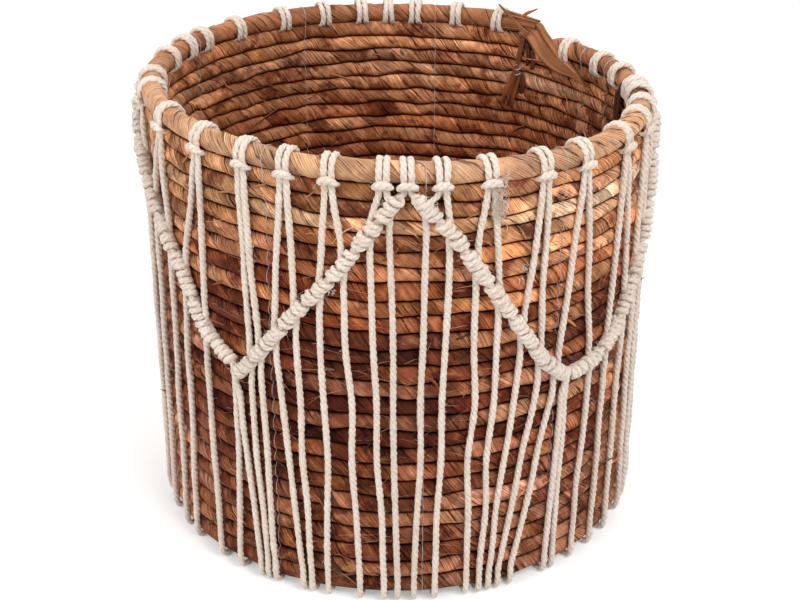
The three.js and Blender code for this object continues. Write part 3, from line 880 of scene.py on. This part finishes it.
def leg_points(head, hand, rng):
    """A leg from its tail under the wall, through its row of knots, to the middle of its head."""
    row, order = leg_plan(head, hand)
    apex, side, crossings, low, feet = row
    axis = knot_axis(row)
    at = axis[2]
    leg = wall_face() + mm(cords().diameter) / 2 + 0.1
    foot = HEADS[apex] + side * feet[order if order >= 0 else -1]
    reaches = [2 * ROW_START - crossings[0][0]] + [c[0] for c in crossings] + [2 * low[0] - crossings[-1][0]]
    if order >= 0:
        here = at(reaches[order + 1])
        upper = at((reaches[order] + reaches[order + 1]) / 2)
        lower = at((reaches[order + 1] + reaches[order + 2]) / 2)
        turns = max(2, round((lower - upper) / WRAP_SPACING))
        middle = np.vstack([
            behind(axis, here, (here + lower) / 2 + 1), wound(axis, lower - 1.6, upper + 1.6, turns, rng),
            behind(axis, (here + upper) / 2 - 1, here)])
    else:
        middle = unpressed(on_axis(axis, np.linspace(at(low[0]) - 1.5, at(reaches[1]) - 1, 24))[0])
    tail = polar(leg + TAIL[:, 0], foot, TAIL[:, 1])
    low_end, high_end = middle[0], middle[-1]
    low_angle = nearest(angle_of(low_end), foot)
    steps = max(int((low_end[2] - 20) / FREE_SPACING), 2)
    share = np.linspace(0, 1, steps + 1)[:-1]
    turned = np.degrees(swaying(0.9, share, steps, rng) / leg)
    loose = 0.35 * np.abs(wander(int(rng.integers(4000)), share * steps / 3))
    free = polar(leg + loose, foot + (low_angle - foot) * share + turned, 17 + (low_end[2] - 5 - 17) * share)
    top = head_points(HEADS[head], hand, 0.8 * rng.uniform(-1, 1))
    top_angle = angle_of(top[0])
    end_angle = nearest(angle_of(high_end), top_angle)
    gap = top[0, 2] - high_end[2]
    steps = max(int(gap / FREE_SPACING), 1)
    share = np.linspace(0, 1, steps + 1)[1:-1] if gap > 16 else np.array([])
    turned = np.degrees(swaying(0.8, share, steps, rng) / leg)
    rise = polar(leg, end_angle + (top_angle - end_angle) * share + turned,
                 high_end[2] + 4 + (gap - 8) * share)
    return np.vstack([unpressed(tail), unpressed(free), middle, unpressed(rise), top])


def knotted_cord(head):
    """A cord with its two legs: its line, its rings of points and its length."""
    rng = np.random.default_rng(500 + head)
    left, right = (leg_points(head, hand, rng) for hand in (-1, 1))
    rows = np.vstack([left, right[-2::-1]])
    curve, along, (press,) = rounded(rows[:, :3], CORD_SPACING, [rows[:, 3:]])
    strand = np.radians([-60, -36, -12, 12, 36])
    angles = np.concatenate([strand + np.radians(120 * k) for k in range(3)])
    reach = np.tile(0.94 + 0.10 * np.cos(3 * strand), 3)
    turn = -2 * np.pi * along / mm(cords().lay) + 0.25 * wander(700 + head, along / 15)
    offsets = ring_offsets(curve, sideways(HEADS[head]), angles[None] + turn[:, None])
    radius = mm(cords().diameter) / 2 * (1 + 0.05 * wander(800 + head, along / 4))
    offsets *= (reach[None] * radius[:, None])[:, :, None]
    way = press[:, 1:] / np.maximum(np.linalg.norm(press[:, 1:], axis=1), 1e-6)[:, None]
    rings = curve[:, None] + pressed(offsets, way, press[:, :1])
    number = f"{head + 1:02d}"
    tube(f"Knotted_Cord_{number}", rings, along,
         material=twisted_cotton(), slot="cotton_cord", node=f"macrame_cord_{number}")
    return curve, rings, along[-1]


# Loose fibres

# Hairs on each cord, and the height under which it has none
FUZZ_ANYWHERE = 100
FUZZ_ON_KNOTS = 130
FUZZ_LOWEST = 9

# Loose bark: name, seed, number, face of the wall (1 outside, -1 inside), lengths, widths, thickness,
# how far it stands off, shades, share of bleaching and steepness
BARK_BITS = [
    ("Bark_Hairs_Outside", 81, 1100, 1, (6, 32), (0.2, 0.42), 0.16, 0.08, (0.5, 1.25), 0.8, 0.4),
    ("Bark_Hairs_Inside", 82, 500, -1, (6, 30), (0.2, 0.4), 0.16, 0.08, (0.4, 1.1), 0.8, 0.4),
    ("Bark_Slivers_Outside", 83, 420, 1, (8, 18), (0.7, 2.2), 0.2, 0.14, (0.35, 1.7), 0.0, 0.9),
    ("Bark_Slivers_Inside", 84, 150, -1, (8, 22), (0.7, 2.2), 0.2, 0.22, (0.4, 1.3), 0.0, 0.9),
]

# Tufts of frayed cotton: angle, reach, how far below the rim and spread over what height, and number
TUFTS = [
    (19.5, 16, 17, 17, 240), (20.4, 34, 12, 18, 110), (20.4, 26, 27, 12, 50), (-2.4, 22, 18, 6, 20),
    (3.6, 16, -9, 3, 6), (26, 24, 66, 10, 20), (-13.5, 24, 72, 10, 20), (-31, 22, 60, 12, 20),
]
TUFT_RADIUS = 173


def hairs(name, base, way, bend, length, width, thickness, tones=None, **facts):
    """Many thin tapered fibres in one mesh, each bent from its base, with a three-cornered section."""
    t = np.linspace(0, 1, 5)[None, :, None]
    length = length[:, None, None]
    line = base[:, None] + length * (way[:, None] * t + bend[:, None] * t**2)
    tangent = unit(way[:, None] + 2 * bend[:, None] * t)
    flat = unit(np.cross(tangent, base[:, None] * np.array([1, 1, 0.001])))
    high = np.cross(flat, tangent)
    taper = np.array([0.6, 1, 0.9, 0.6, 0.12])[None, :, None]
    width, thickness = width[:, None, None] / 2 * taper, thickness[:, None, None] * taper
    rings = np.stack([line + flat * width, line - flat * width, line + high * thickness], 2)
    quads, start, end, _, _ = tube_faces(5, 3)
    step = (np.arange(len(base)) * 15)[:, None, None]
    faces = [(f[None] + step).reshape(-1, f.shape[1]) for f in (quads, start, end)]
    a, b, c = (rings.reshape(-1, 3)[faces[0][:1, k]] for k in (0, 1, 2))
    if (np.cross(b - a, c - a) * (a - line[:1, 0])).sum() < 0:
        faces = [f[:, ::-1] for f in faces]
    corners = sum(f.size for f in faces)
    maps = {"Along": [np.tile([0.01, 1 / 6], (corners, 1))]}
    if tones is not None:
        tones = np.repeat(tones, 15, 0)
    add_object(name, rings.reshape(-1, 3), faces, maps, tones, **facts)


def cotton_fuzz(made):
    """Short fibres that stand off every cord, more of them off the knots, and a few frayed tufts."""
    rng = np.random.default_rng(91)
    cotton = {"material": twisted_cotton(), "slot": "cotton_cord"}
    parts = []
    for curve, rings, _ in made:
        knotted = np.flatnonzero(np.hypot(curve[:, 0], curve[:, 1]) > ring() + 9.5)
        knotted = knotted[(knotted > 3) & (knotted < len(curve) - 4)]
        anywhere = rng.integers(3, len(curve) - 3, FUZZ_ANYWHERE)
        at = np.concatenate([anywhere, rng.choice(knotted, FUZZ_ON_KNOTS)])
        at = at[curve[at, 2] > FUZZ_LOWEST]
        count = len(at)
        point = rings[at, rng.integers(0, rings.shape[1], count)]
        out = unit(point - curve[at])
        tangent = unit(curve[at + 2] - curve[at - 2]) * rng.choice([-1, 1], count)[:, None]
        way = out * rng.uniform(0.5, 1.3, count)[:, None] + tangent + 0.5 * rng.standard_normal((count, 3))
        parts.append((point - 0.2 * out, unit(way), 0.5 * rng.standard_normal((count, 3)) - 0.45 * out))
    base, way, bend = (np.vstack(column) for column in zip(*parts))
    length = rng.uniform(1.5, 5.0, len(base))
    size = rng.uniform(0.12, 0.22, len(base))
    hairs("Cotton_Fuzz", base, way, bend, length, size, size, **cotton)
    angle = np.concatenate([a + rng.uniform(-1.2, 1.2, n) for a, _, _, _, n in TUFTS])
    drop = np.concatenate([d + rng.uniform(-spread, spread, n) * 0.6 for _, _, d, spread, n in TUFTS])
    length = np.concatenate([rng.uniform(0.3, 1, n) * reach * 0.3 for _, reach, _, _, n in TUFTS])
    count = len(angle)
    base = polar(TUFT_RADIUS + rng.uniform(0, 3, count), angle, rim_height(angle) - drop)
    out, aside = outward(angle), sideways(angle)
    turn = rng.uniform(-0.9, 0.9, count)[:, None]
    way = unit(out * rng.uniform(0.1, 0.8, count)[:, None] + aside * np.cos(turn) + UP * np.sin(turn))
    bend = -0.75 * aside + UP * rng.uniform(-0.6, 0.6, count)[:, None] - 0.2 * out
    size = rng.uniform(0.22, 0.42, count)
    hairs("Frayed_Cotton", base, way, bend, length, size, size, **cotton)


def bark_bits(name, seed, count, hand, lengths, widths, thickness, stand, shades, bleach_and_highlight, steep):
    """Hairs or slivers of bark that stand off the wall's outer (hand 1) or inner (hand -1) face."""
    rng = np.random.default_rng(seed)
    turns = rng.uniform(1, WALL_ROWS - 0.6, count)
    centre, half_height, half_depth = rope_faces(turns)
    lean = rng.uniform(-0.5, 0.5, count)
    angle = SEAM - 360 * turns
    out = polar(hand, angle, 0)
    face = half_depth * np.sqrt(1 - lean**2 * 0.4) - 0.1
    base = polar(ring() + hand * face, angle, centre + lean * half_height)
    aside = sideways(angle) * rng.choice([-1, 1], count)[:, None]
    slope = rng.uniform(-steep, steep, count)[:, None]
    way = unit(aside + UP * slope + out * rng.uniform(0.02, stand, count)[:, None])
    length = rng.uniform(*lengths, count)
    bend = 0.25 * rng.standard_normal((count, 3)) - out * length[:, None] / 2 / 165 + out * 0.04
    tones = shade_of(turns) * (1 - bleach_and_highlight) + np.array(tub().rim_tan) * bleach_and_highlight
    tones *= rng.uniform(*shades, count)[:, None]
    hairs(name, base, way, bend, length, rng.uniform(*widths, count), np.full(count, thickness),
          np.clip(tones, 0, 1), material=flat_bark(), slot="pale_bark")


# Sewing threads and the seam

STRIP_THICKNESS = 0.7

# The two long edges of the rim's last strip: angle, height, distance from the axis
LEAF_EDGES = [
    [(143.5, 311, 164), (138.6, 312.2, 165), (136.5, 307.6, 163.5), (133.4, 302.6, 161), (130.5, 298.0, 159),
     (127.5, 293.2, 158.3), (123.3, 287.2, 158), (118.0, 278.4, 158)],
    [(144.5, 302, 158.4), (141.6, 299.5, 157.8), (139.4, 293.0, 157.5), (137.0, 287.0, 157.5),
     (133.0, 281.0, 157.6), (129.2, 279.2, 157.8), (124.5, 279.6, 158), (117.6, 277.6, 158)],
]

# Strands of the rim's end: how far out from its middle and up they start, and width
RIM_STRANDS = [(3.5, 5.2, 4.5), (-0.5, 6.6, 4.8), (-4.6, 5.0, 4.5), (-6.6, 1.2, 4.6), (-6.0, -3.2, 4.4),
               (5.8, 1.0, 4.2), (-2.5, -5.5, 4)]

# Strips of bark at the seam: angle, height, distance from the axis, width
WISPS = [
    [(141.0, 303.5, 157.2, 4.0), (142.6, 306.5, 156.6, 3.4), (145.1, 311.8, 156.2, 2.6),
     (148.2, 318.0, 157.0, 2.4), (151.0, 322.3, 160.0, 1.0)],
    [(145.0, 311.0, 161.5, 1.5), (144.4, 314.2, 163.0, 2.4), (143.6, 317.0, 166.0, 3.0),
     (142.8, 318.2, 169.5, 1.8), (141.6, 320.3, 172.0, 0.8)],
]
TIES = [
    [(142.6, 300, 157.8, 2.4), (143.3, 292, 157.3, 4.2), (144.0, 281, 157.1, 3.4),
     (144.8, 270, 157.0, 4.4), (146.2, 257, 157.3, 5.2), (147.0, 244, 158.4, 1.2)],
    [(144.6, 277, 158.2, 2.0), (145.6, 268, 157.4, 3.8), (147.6, 256, 157.2, 4.4), (149.0, 245, 158.4, 1.0)],
    [(143.0, 273, 158.2, 1.6), (143.8, 264, 157.4, 3.0), (145.0, 254, 157.4, 3.4), (145.6, 243, 158.4, 1.0)],
]
# Crumpled strips: angle, height, distance from the axis, width. The first two fill the gap between the rows'
# ends with a dark sheet, painted shade of that gap; the next three are crinkled strips in the gap and the
# last two hang down the inside further round, all in the same dark brown
CRUMPLED = [
    [(145.0, 304, 163.5, 7.0), (142.5, 293, 163.5, 10.0), (141.5, 280, 163.5, 9.0), (142.5, 268, 163.5, 6.0)],
    [(140.5, 302, 162.0, 8.0), (139.0, 294, 162.0, 9.0), (138.5, 284, 162.0, 7.0)],
    [(141.6, 296, 158.6, 2.4), (140.8, 288, 158.0, 3.8), (141.2, 279, 158.4, 1.4)],
    [(139.6, 291, 158.4, 2.4), (139.0, 284, 157.8, 3.6), (139.6, 277, 158.2, 2.4)],
    [(142.6, 272, 158.4, 2.4), (142.2, 264, 157.6, 4.0), (143.0, 256, 158.2, 2.6)],
    [(96.6, 297, 157.4, 6.0), (98.4, 286, 156.8, 9.0), (99.3, 274, 157.0, 7.5), (99.5, 262, 158.0, 3.0)],
    [(101.0, 290, 158.0, 3.0), (100.8, 280, 157.4, 5.0), (101.6, 268, 158.0, 3.0)],
]


def wall_surface(height, angle, hand):
    """Distance from the axis to the wall's outer (hand 1) or inner (hand -1) face."""
    share = ((SEAM - angle) % 360) / 360
    turns = np.arange(WALL_ROWS) + share
    centre, half_height, half_depth = rope_faces(turns)
    off = np.abs(height[:, None] - centre[None]) / half_height[None]
    bulge = (1 - np.minimum(off, 1) ** ROPE_SQUARENESS) ** (1 / ROPE_SQUARENESS)
    return ring() + hand * np.maximum((bulge * half_depth[None]).max(1), 2.6)


def wire(name, path, spacing, radius, first_side, **facts):
    """A thin round thread along a path."""
    curve, along, _ = rounded(path, spacing)
    offsets = radius * ring_offsets(curve, first_side, 2 * np.pi * np.arange(6) / 6)
    tube(name, curve[:, None] + offsets, along, material=clear_thread(), slot="clear_thread", **facts)


def sewing_thread(number, angle):
    """A thread up the inside of the wall, over the rim and down its outside."""
    top = rim_height(angle)
    rim = mm(tub().rim) / 2 + 0.45
    inside = np.arange(13, top - 9, 1.6)
    outside = np.arange(8, top - 9, 1.6)[::-1]
    arc = np.radians(np.arange(200, -21, -20))
    path = np.vstack([
        polar(wall_surface(inside, angle, -1) - 0.2, angle, inside),
        polar(ring() + rim * np.cos(arc), angle, top + rim * np.sin(arc)),
        polar(wall_surface(outside, angle, 1) + 0.2, angle, outside),
    ])
    wire(f"Sewing_Thread_{number}", path, 1.5, mm(cords().thread) / 2, sideways(angle),
         node=f"sewing_thread_{number}")


def ribbon(name, path, ways, widths, wrinkles, seed, tone):
    """A flat strip of bark along a path: points, ways across it and widths, with its wrinkles."""
    curve, along, (across, width) = rounded(path, 1.5, [np.array(ways), np.array(widths, float)[:, None]])
    tangent = unit(np.gradient(curve, axis=0))
    across = unit(across - tangent * np.einsum("ij,ij->i", across, tangent)[:, None])
    face = np.cross(tangent, across)
    s = np.linspace(-1, 1, 15)
    rise = wrinkles * (wander(seed, s[None] * 5 + 0.01 * along[:, None]) * 0.5 + 0.35 * np.cos(s * 9)[None])
    half = STRIP_THICKNESS / 2 * np.sqrt(np.maximum(1 - s**8, 0.05))
    sheet = curve[:, None] + across[:, None] * (s[None] * width / 2)[:, :, None]
    top, low = (sheet + face[:, None] * (rise + side * half)[:, :, None] for side in (1, -1))
    tones = np.tile(tone, (len(curve), 1)) * np.exp(0.1 * wander(seed + 1, along / 8))[:, None]
    rings = np.concatenate([top, low[:, ::-1]], 1)
    return tube(name, rings, along, np.clip(tones, 0, 1), material=flat_bark())


def rim_end_leaf():
    """The rim's last strip, flattened to a leaf that lies over the end of the row below."""
    rows, columns = 60, 17
    edges = []
    for edge in LEAF_EDGES:
        line, lengths, _ = rounded(np.array([polar(r, a, z) for a, z, r in edge]), 1)
        edges.append(between(np.linspace(0, lengths[-1], rows), lengths, line))
    w, t = np.linspace(0, 1, columns)[None], np.linspace(0, 1, rows)
    sheet = edges[0][:, None] * (1 - w)[:, :, None] + edges[1][:, None] * w[:, :, None]
    out = unit(sheet * LEVEL)
    folds = 0.55 * wander(62, w * 7 + 1.2 * wander(63, t[:, None] * 3)) + 0.35 * wander(64, w * 15)
    puff = 1.5 * np.sin(np.pi * w) * np.sin(np.pi * np.clip(t * 1.1, 0, 1))[:, None]
    under = sheet - out * (folds + puff)[:, :, None]
    rings = np.concatenate([under - out * 0.5, (under + out * 0.6)[:, ::-1]], 1)
    tone = np.tile(np.array(tub().tan) * 0.78, (rows, 1)) * np.exp(0.08 * wander(65, t * 9))[:, None]
    tube("Rim_End_Strip", rings, t * rows, tone, material=flat_bark(), slot="rim_bark", node="rim_end_strip")


def strands(name, paths, tone, wrinkles, node=None):
    """Flat strips of bark along paths of (angle, height, radius, width), joined into one piece."""
    made = []
    for k, path in enumerate(paths):
        points = [polar(r, a, z) for a, z, r, _ in path]
        last = len(path) - 1
        ways = [np.cross(points[min(i + 1, last)] - points[max(i - 1, 0)], points[i] * LEVEL)
                for i in range(last + 1)]
        shade = np.array(tone) * (0.75 + 0.5 * ((k * 0.618) % 1))
        made.append(ribbon(f"{name}_{k}", points, ways, [w for _, _, _, w in path], wrinkles, 200 + k, shade))
    bpy.ops.object.select_all(action="DESELECT")
    for piece in made:
        piece.select_set(True)
    bpy.context.view_layer.objects.active = made[0]
    bpy.ops.object.join()
    piece = bpy.context.object
    piece.name = piece.data.name = name
    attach(piece, "root")
    if node:
        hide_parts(node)


def frayed_rim_end():
    """Strips that the end of the rim comes apart into, with two curled wisps."""
    paths = []
    for out, up, width in RIM_STRANDS:
        path = []
        for k, angle in enumerate((151.5, 148.5, 145.5, 142.5, 139.8)):
            close = 1 - 0.10 * k
            height = rim_height(angle, 1 - (angle - SEAM) / 360) + up * close
            path.append((angle - 0.3 * (k == 4) * up / 6, height, 165 + out * close, width * (1 - 0.12 * k)))
        paths.append(path)
    strands("Frayed_Rim_End", paths + WISPS, np.array(tub().tan) * 0.75, 0.5)


def seam_strips():
    """Strips that tie the rows' ends down the inside, the crumpled bark beside them, with a dark sheet
    painted as the shade of the seam's gap, and stitches.
    """
    strands("Seam_Tie", TIES, np.array(tub().rust) * 1.1, 0.7, "seam_tie")
    # dark brown crumpled bark, its first two strips a painted shade of the gap at the seam
    strands("Crumpled_Bark", CRUMPLED, np.array(tub().middle) * 0.9, 0.8)
    turns = np.linspace(0, 1, 50)
    t = 2 * np.pi * 2.5 * turns
    path = polar(157.2 - 1.7 * np.cos(t), 143.9 + 0.75 * np.sin(t), 279 - 10 * turns)
    wire("Seam_Stitches", path, 0.8, 0.45, UP)


# Stage, in metres but for the floor

FLOOR_REACH = 7000
LENS = 65.70
LENS_SHIFT = 0.003475
CAMERA_AIM = 0.1398
CAMERA_ELEVATION = 26.123
CAMERA_REACH = 1.0679
LAMP_AIM = 0.16

# Name, place, size and watts
LAMPS = [("Key", (0.9, -1.1, 1.7), 0.9, 23), ("Fill", (-1.6, -1.1, 1.3), 1.6, 22),
         ("Top", (0.0, 0.3, 2.2), 1.4, 9), ("Back", (0.2, 1.8, 1.3), 1.8, 12)]


def aimed(name, data, place, target):
    """A lamp or camera at a place, turned to a target."""
    thing = bpy.data.objects.new(name, data)
    thing.location = place
    thing.rotation_euler = (Vector(target) - thing.location).to_track_quat("-Z", "Y").to_euler()
    bpy.context.scene.collection.objects.link(thing)
    return thing


# Operators


class BASKET_OT_base(bpy.types.Operator):
    """Winds the flat coil of rope that closes the basket's foot"""

    bl_idname = "basket.base"
    bl_label = "Base Rope"

    def execute(self, context):
        base_rope()
        return {"FINISHED"}


class BASKET_OT_wall(bpy.types.Operator):
    """Winds the wall's dark rope and the pale rope above it"""

    bl_idname = "basket.wall"
    bl_label = "Wall Ropes"

    def execute(self, context):
        wall_rope("Wall_Rope_Dark", -CLIMB_SHARE, float(DARK_ROWS), 15, "dark_bark", "wall_rope_dark")
        wall_rope("Wall_Rope_Pale", float(DARK_ROWS), float(WALL_ROWS), 22, "pale_bark", "wall_rope_pale")
        return {"FINISHED"}


class BASKET_OT_rim(bpy.types.Operator):
    """Winds the thicker rope of the rim"""

    bl_idname = "basket.rim"
    bl_label = "Rim Rope"

    def execute(self, context):
        rim_rope()
        return {"FINISHED"}


class BASKET_OT_seam(bpy.types.Operator):
    """Lays the flattened end of the rim's bark down the inside and ties the seam"""

    bl_idname = "basket.seam"
    bl_label = "Seam Strips"

    def execute(self, context):
        rim_end_leaf()
        frayed_rim_end()
        seam_strips()
        return {"FINISHED"}


class BASKET_OT_loose(bpy.types.Operator):
    """Lays loose hairs and slivers of bark on the wall"""

    bl_idname = "basket.loose"
    bl_label = "Loose Bark"

    def execute(self, context):
        for bits in BARK_BITS:
            bark_bits(*bits)
        return {"FINISHED"}


class BASKET_OT_threads(bpy.types.Operator):
    """Sews the rows together with clear threads, inside and outside"""

    bl_idname = "basket.threads"
    bl_label = "Sewing Threads"

    def execute(self, context):
        for number, angle in enumerate(THREADS, 1):
            sewing_thread(f"{number:02d}", angle)
        return {"FINISHED"}


class BASKET_OT_cords(bpy.types.Operator):
    """Hangs the cotton cords on the rim and knots them into the zigzag"""

    bl_idname = "basket.cords"
    bl_label = "Knotted Cords"

    def execute(self, context):
        made = [knotted_cord(head) for head in range(len(HEADS))]
        print("cord lengths, mm:", [round(float(length)) for _, _, length in made])
        cotton_fuzz(made)
        return {"FINISHED"}


class BASKET_OT_stage(bpy.types.Operator):
    """Adds the floor, the lamps, the white surroundings and the camera"""

    bl_idname = "basket.stage"
    bl_label = "Stage"

    def execute(self, context):
        corners = FLOOR_REACH * np.array([[-1, -1, 0], [1, -1, 0], [1, 1, 0], [-1, 1, 0]])
        add_object("Floor", corners, [np.arange(4)[None]], {}, material=pale_floor())
        context.scene.world = white_world()
        for name, place, size, power in LAMPS:
            data = bpy.data.lights.new(name, "AREA")
            data.size = size
            data.energy = power
            aimed(name, data, place, (0, 0, LAMP_AIM))
        data = bpy.data.cameras.new("Camera")
        data.sensor_width = 36
        data.lens = LENS
        data.shift_x = LENS_SHIFT
        elevation, target = np.radians(CAMERA_ELEVATION), Vector((0, 0, CAMERA_AIM))
        place = target + CAMERA_REACH * Vector((0, -np.cos(elevation), np.sin(elevation)))
        context.scene.camera = aimed("Camera", data, place, target)
        context.scene.view_settings.view_transform = "Standard"
        return {"FINISHED"}


class BASKET_PT_panel(bpy.types.Panel):
    """Sizes, colours and pieces of the basket"""

    bl_label = "Macrame Basket"
    bl_idname = "BASKET_PT_panel"
    bl_space_type = "VIEW_3D"
    bl_region_type = "UI"
    bl_category = "Basket"

    def draw(self, context):
        for group in (context.scene.basket_tub, context.scene.basket_cords):
            box = self.layout.box()
            for name in group.__annotations__:
                box.prop(group, name)
        for operator in STEPS:
            self.layout.operator(operator.bl_idname)


STEPS = (
    BASKET_OT_stage, BASKET_OT_base, BASKET_OT_wall, BASKET_OT_rim, BASKET_OT_seam, BASKET_OT_loose,
    BASKET_OT_threads, BASKET_OT_cords,
)
CLASSES = (BasketTub, BasketCords, *STEPS, BASKET_PT_panel)


def register():
    for cls in CLASSES:
        bpy.utils.register_class(cls)
    bpy.types.Scene.basket_tub = bpy.props.PointerProperty(type=BasketTub)
    bpy.types.Scene.basket_cords = bpy.props.PointerProperty(type=BasketCords)


def unregister():
    del bpy.types.Scene.basket_cords
    del bpy.types.Scene.basket_tub
    for cls in reversed(CLASSES):
        bpy.utils.unregister_class(cls)


def main():
    register()
    for operator in STEPS:
        getattr(bpy.ops.basket, operator.bl_idname.split(".")[1])()


if __name__ == "__main__":
    main()
